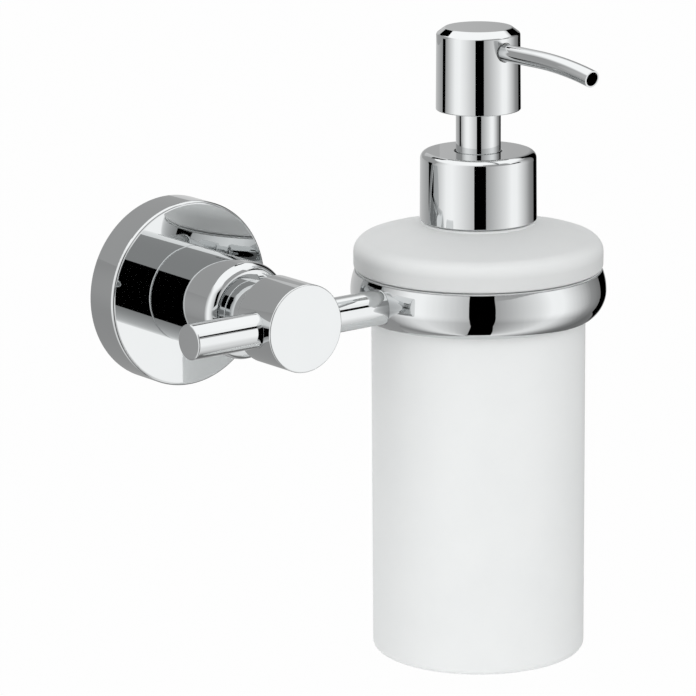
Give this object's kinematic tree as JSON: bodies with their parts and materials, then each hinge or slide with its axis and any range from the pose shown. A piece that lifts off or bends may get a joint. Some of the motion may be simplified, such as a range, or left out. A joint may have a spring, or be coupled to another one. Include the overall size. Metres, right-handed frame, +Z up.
{
  "type": "wall mounted soap dispenser",
  "caption": "Frosted glass bottle with a chrome hand pump, held in a chrome ring on a rod, knob, post and round wall plate.",
  "frame": {"origin": "centre of the round wall plate's back face, on the wall, between the two wall screw holes", "axes": "+Z up, +Y into the wall (the holder reaches out along -Y), +X along the rod towards the holder ring"},
  "size_m": [0.1351, 0.1054, 0.1781],
  "materials": {
    "chrome": "mirror polished",
    "cast_metal": "as cast",
    "steel": "zinc plated",
    "frosted_glass": "frosted",
    "white_plastic": "satin",
    "clear_plastic": "translucent",
    "soft_plastic": "matte"
  },
  "bodies": {
    "holder": {"wall_bracket": "cast_metal", "wall_plate": "chrome", "plate_set_screw": "steel", "post": "chrome", "post_screw": "steel", "knob_stud": "steel", "neck_sleeve": "chrome", "knob": "chrome", "rod": "chrome", "rod_set_screw": "steel", "holder_ring": "chrome", "ring_screw": "steel", "ring_liner": "clear_plastic"},
    "bottle": {"bottle": "frosted_glass"},
    "pump": {"pump_housing": "white_plastic", "neck_gasket": "soft_plastic", "guide_bush": "white_plastic", "return_spring": "steel", "ball_retainer": "white_plastic", "dip_tube": "clear_plastic"},
    "closure": {"collar_shell": "chrome", "collar_insert": "white_plastic"},
    "piston": {"piston_seal": "soft_plastic"},
    "head": {"piston_rod": "white_plastic", "stem_sleeve": "chrome", "head_core": "white_plastic", "head_shell": "chrome", "spout": "chrome"},
    "inlet_valve_ball": {"inlet_ball": "steel"},
    "outlet_valve_ball": {"outlet_ball": "steel"}
  },
  "joints": [
    {"name": "bottle_lift", "type": "slide", "parent": "holder", "child": "bottle", "axis": [0, 0, 1], "range_m": [0, 0.12]},
    {"name": "pump_lift", "type": "slide", "parent": "bottle", "child": "pump", "axis": [0, 0, 1], "range_m": [0, 0.008]},
    {"name": "closure_turn", "type": "hinge", "parent": "pump", "child": "closure", "pos_m": [0.066, -0.05695, 0], "axis": [0, 0, 1], "range_deg": [0, 901]},
    {"name": "pump_stroke", "type": "slide", "parent": "pump", "child": "piston", "axis": [0, 0, -1], "range_m": [0, 0.011], "stiffness_N_per_m": 600, "springref_m": -0.012, "deforming": ["return_spring"]},
    {"name": "head_swivel", "type": "hinge", "parent": "piston", "child": "head", "pos_m": [0.066, -0.05695, 0], "axis": [0, 0, 1], "continuous": true},
    {"name": "inlet_valve", "type": "slide", "parent": "pump", "child": "inlet_valve_ball", "axis": [0, 0, 1], "range_m": [0, 0.0012]},
    {"name": "outlet_valve", "type": "slide", "parent": "head", "child": "outlet_valve_ball", "axis": [0, 0, 1], "range_m": [0, 0.0012]}
  ],
  "couplings": [
    {"joint": "closure_turn", "follows": "pump_lift", "rad_per_m": 1963.5}
  ]
}
